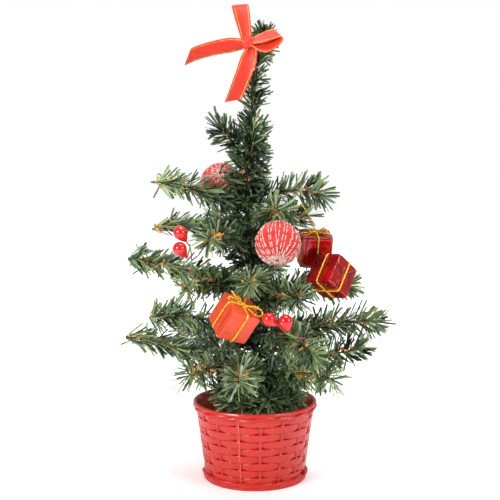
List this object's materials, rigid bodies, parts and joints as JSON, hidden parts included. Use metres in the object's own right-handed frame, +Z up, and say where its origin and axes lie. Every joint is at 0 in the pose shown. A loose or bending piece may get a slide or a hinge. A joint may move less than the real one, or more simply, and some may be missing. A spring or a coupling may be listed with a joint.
{
  "type": "artificial tabletop tree",
  "caption": "Small artificial tree of bendable wired sprigs on a twisted-wire trunk in a basket-pattern pot, dressed with a ribbon bow, thread balls, foil gifts and berries.",
  "frame": {"origin": "centre of the pot's flat underside", "axes": "+Z up along the trunk, -Y is the decorated front, +X to the right seen from the front"},
  "size_m": [0.164, 0.1468, 0.2934],
  "materials": {
    "pot_plastic": "gloss",
    "plaster": "matte",
    "needles": "satin",
    "dark_wire": "satin",
    "foam": "matte",
    "satin_thread": "satin",
    "red_satin": "satin",
    "gold_cord": "gloss",
    "orange_red_foil": "satin",
    "red_foil": "gloss",
    "berry_red": "gloss",
    "berry_stem": "matte"
  },
  "bodies": {
    "trunk": {"ballast": "plaster", "leader_needles": "needles", "pot": "pot_plastic", "tier_1_wrap": "dark_wire", "tier_2_wrap": "dark_wire", "tier_3_wrap": "dark_wire", "tier_4_wrap": "dark_wire", "tier_5_wrap": "dark_wire", "tier_6_wrap": "dark_wire", "trunk_wire": "dark_wire"},
    "bow": {"bow_ribbon": "red_satin", "bow_tie_wire": "gold_cord"},
    "ball_front": {"ball_front_core": "foam", "ball_front_winding": "satin_thread", "ball_front_wire": "dark_wire"},
    "ball_back": {"ball_back_core": "foam", "ball_back_winding": "satin_thread", "ball_back_wire": "dark_wire"},
    "gift_front": {"gift_front_box": "orange_red_foil", "gift_front_cord": "gold_cord"},
    "gift_upper": {"gift_upper_box": "red_foil", "gift_upper_cord": "gold_cord"},
    "gift_lower": {"gift_lower_box": "red_foil", "gift_lower_cord": "gold_cord"},
    "berries_left": {"berries_left_1": "berry_red", "berries_left_2": "berry_red", "berries_left_stem": "berry_stem"},
    "berries_front": {"berries_front_1": "berry_red", "berries_front_2": "berry_red", "berries_front_stem": "berry_stem"},
    "branch_1_left": {"branch_1_left": "needles"},
    "branch_1_right": {"branch_1_right": "needles"},
    "branch_1_front_right": {"branch_1_front_right": "needles"},
    "branch_1_front": {"branch_1_front": "needles"},
    "branch_1_front_left": {"branch_1_front_left": "needles"},
    "branch_1_back_left": {"branch_1_back_left": "needles"},
    "branch_1_back_right": {"branch_1_back_right": "needles"},
    "branch_2_left": {"branch_2_left": "needles"},
    "branch_2_right": {"branch_2_right": "needles"},
    "branch_2_front_right": {"branch_2_front_right": "needles"},
    "branch_2_back": {"branch_2_back": "needles"},
    "branch_3_left": {"branch_3_left": "needles"},
    "branch_3_right": {"branch_3_right": "needles"},
    "branch_3_front_right": {"branch_3_front_right": "needles"},
    "branch_3_front": {"branch_3_front": "needles"},
    "branch_3_front_left": {"branch_3_front_left": "needles"},
    "branch_3_back": {"branch_3_back": "needles"},
    "branch_4_left": {"branch_4_left": "needles"},
    "branch_4_right": {"branch_4_right": "needles"},
    "branch_4_front": {"branch_4_front": "needles"},
    "branch_4_front_left": {"branch_4_front_left": "needles"},
    "branch_4_back": {"branch_4_back": "needles"},
    "branch_5_left": {"branch_5_left": "needles"},
    "branch_5_right": {"branch_5_right": "needles"},
    "branch_5_back": {"branch_5_back": "needles"},
    "branch_6_left": {"branch_6_left": "needles"}
  },
  "joints": [
    {"name": "ball_front_swing", "type": "hinge", "parent": "branch_4_front", "child": "ball_front", "pos_m": [0.0124, -0.0334, 0.1659], "axis": [1, 0, 0], "range_deg": [-8, 10]},
    {"name": "ball_back_swing", "type": "hinge", "parent": "trunk", "child": "ball_back", "pos_m": [-0.0082, 0, 0.201], "axis": [0.7876, 0.6162, 0], "range_deg": [-10, 10]},
    {"name": "gift_front_swing", "type": "hinge", "parent": "branch_3_front", "child": "gift_front", "pos_m": [-0.003, -0.047, 0.1226], "axis": [1, 0, 0], "range_deg": [-10, 10]},
    {"name": "gift_upper_swing", "type": "hinge", "parent": "branch_5_right", "child": "gift_upper", "pos_m": [0.029, -0.0064, 0.172], "axis": [1, 0, 0], "range_deg": [-8, 10]},
    {"name": "gift_lower_swing", "type": "hinge", "parent": "branch_3_right", "child": "gift_lower", "pos_m": [0.047, -0.0124, 0.1289], "axis": [1, 0, 0], "range_deg": [-10, 10]},
    {"name": "berries_left_bend", "type": "hinge", "parent": "branch_3_front_left", "child": "berries_left", "pos_m": [-0.0384, -0.0426, 0.1334], "axis": [1, 0, 0], "range_deg": [-12, 12]},
    {"name": "berries_front_bend", "type": "hinge", "parent": "branch_2_front_right", "child": "berries_front", "pos_m": [0.0292, -0.0478, 0.099], "axis": [0, 1, 0], "range_deg": [-12, 12]},
    {"name": "bow_turn", "type": "hinge", "parent": "trunk", "child": "bow", "pos_m": [0.00352, 0, 0.27], "axis": [0.185, 0, 0.9827], "range_deg": [-30, 30]},
    {"name": "branch_1_left_bend", "type": "hinge", "parent": "trunk", "child": "branch_1_left", "pos_m": [-0.0043, -0.00045, 0.064], "axis": [-0.1045, 0.9945, 0], "range_deg": [-10, 16]},
    {"name": "branch_1_right_bend", "type": "hinge", "parent": "trunk", "child": "branch_1_right", "pos_m": [0.00413, -0.00119, 0.06], "axis": [-0.2756, -0.9613, 0], "range_deg": [-10, 16]},
    {"name": "branch_1_front_right_bend", "type": "hinge", "parent": "trunk", "child": "branch_1_front_right", "pos_m": [0.00297, -0.00309, 0.063], "axis": [-0.7193, -0.6947, 0], "range_deg": [-10, 16]},
    {"name": "branch_1_front_bend", "type": "hinge", "parent": "trunk", "child": "branch_1_front", "pos_m": [-0.00067, -0.00425, 0.06], "axis": [-0.9877, 0.1564, 0], "range_deg": [-10, 14]},
    {"name": "branch_1_front_left_bend", "type": "hinge", "parent": "trunk", "child": "branch_1_front_left", "pos_m": [-0.00291, -0.0032, 0.065], "axis": [-0.7431, 0.6691, 0], "range_deg": [-10, 16]},
    {"name": "branch_1_back_left_bend", "type": "hinge", "parent": "trunk", "child": "branch_1_back_left", "pos_m": [-0.00277, 0.00329, 0.062], "axis": [0.766, 0.6428, 0], "range_deg": [-10, 16]},
    {"name": "branch_1_back_right_bend", "type": "hinge", "parent": "trunk", "child": "branch_1_back_right", "pos_m": [0.00244, 0.00352, 0.064], "axis": [0.8192, -0.5736, 0], "range_deg": [-10, 16]},
    {"name": "branch_2_left_bend", "type": "hinge", "parent": "trunk", "child": "branch_2_left", "pos_m": [-0.00527, 0.00104, 0.091], "axis": [0.2419, 0.9703, 0], "range_deg": [-10, 16]},
    {"name": "branch_2_right_bend", "type": "hinge", "parent": "trunk", "child": "branch_2_right", "pos_m": [0.00337, -0.00022, 0.088], "axis": [-0.0523, -0.9986, 0], "range_deg": [-10, 16]},
    {"name": "branch_2_front_right_bend", "type": "hinge", "parent": "trunk", "child": "branch_2_front_right", "pos_m": [0.00112, -0.00365, 0.092], "axis": [-0.848, -0.5299, 0], "range_deg": [-10, 16]},
    {"name": "branch_2_back_bend", "type": "hinge", "parent": "trunk", "child": "branch_2_back", "pos_m": [-0.00113, 0.0043, 0.089], "axis": [0.9994, 0.0349, 0], "range_deg": [-10, 16]},
    {"name": "branch_3_left_bend", "type": "hinge", "parent": "trunk", "child": "branch_3_left", "pos_m": [-0.00714, -0.00007, 0.118], "axis": [-0.0175, 0.9998, 0], "range_deg": [-10, 16]},
    {"name": "branch_3_right_bend", "type": "hinge", "parent": "trunk", "child": "branch_3_right", "pos_m": [0.00168, -0.00089, 0.113], "axis": [-0.2079, -0.9781, 0], "range_deg": [-10, 2]},
    {"name": "branch_3_front_right_bend", "type": "hinge", "parent": "trunk", "child": "branch_3_front_right", "pos_m": [-0.00045, -0.00386, 0.11], "axis": [-0.8988, -0.4384, 0], "range_deg": [-10, 16]},
    {"name": "branch_3_front_bend", "type": "hinge", "parent": "trunk", "child": "branch_3_front", "pos_m": [-0.0029, -0.0043, 0.119], "axis": [-1, 0, 0], "range_deg": [-10, 16]},
    {"name": "branch_3_front_left_bend", "type": "hinge", "parent": "trunk", "child": "branch_3_front_left", "pos_m": [-0.00571, -0.00314, 0.117], "axis": [-0.7314, 0.682, 0], "range_deg": [-10, 16]},
    {"name": "branch_3_back_bend", "type": "hinge", "parent": "trunk", "child": "branch_3_back", "pos_m": [-0.00167, 0.00415, 0.117], "axis": [0.9659, -0.2588, 0], "range_deg": [-10, 16]},
    {"name": "branch_4_left_bend", "type": "hinge", "parent": "trunk", "child": "branch_4_left", "pos_m": [-0.00823, -0.00075, 0.15], "axis": [-0.1736, 0.9848, 0], "range_deg": [-10, 16]},
    {"name": "branch_4_right_bend", "type": "hinge", "parent": "trunk", "child": "branch_4_right", "pos_m": [-0.00006, 0.00175, 0.147], "axis": [0.4067, -0.9135, 0], "range_deg": [-10, 16]},
    {"name": "branch_4_front_bend", "type": "hinge", "parent": "trunk", "child": "branch_4_front", "pos_m": [-0.00225, -0.00393, 0.151], "axis": [-0.9135, -0.4067, 0], "range_deg": [-10, 16]},
    {"name": "branch_4_front_left_bend", "type": "hinge", "parent": "trunk", "child": "branch_4_front_left", "pos_m": [-0.00598, -0.0038, 0.145], "axis": [-0.8829, 0.4695, 0], "range_deg": [-10, 16]},
    {"name": "branch_4_back_bend", "type": "hinge", "parent": "trunk", "child": "branch_4_back", "pos_m": [-0.00602, 0.0038, 0.149], "axis": [0.8829, 0.4695, 0], "range_deg": [-10, 16]},
    {"name": "branch_5_left_bend", "type": "hinge", "parent": "trunk", "child": "branch_5_left", "pos_m": [-0.00886, -0.00045, 0.17], "axis": [-0.1045, 0.9945, 0], "range_deg": [-10, 16]},
    {"name": "branch_5_right_bend", "type": "hinge", "parent": "trunk", "child": "branch_5_right", "pos_m": [-0.00042, -0.00067, 0.172], "axis": [-0.1564, -0.9877, 0], "range_deg": [-8, 16]},
    {"name": "branch_5_back_bend", "type": "hinge", "parent": "trunk", "child": "branch_5_back", "pos_m": [-0.00403, 0.00424, 0.175], "axis": [0.9848, -0.1736, 0], "range_deg": [-10, 16]},
    {"name": "branch_6_left_bend", "type": "hinge", "parent": "trunk", "child": "branch_6_left", "pos_m": [-0.00652, -0.00147, 0.206], "axis": [-0.342, 0.9397, 0], "range_deg": [-10, 16]}
  ]
}
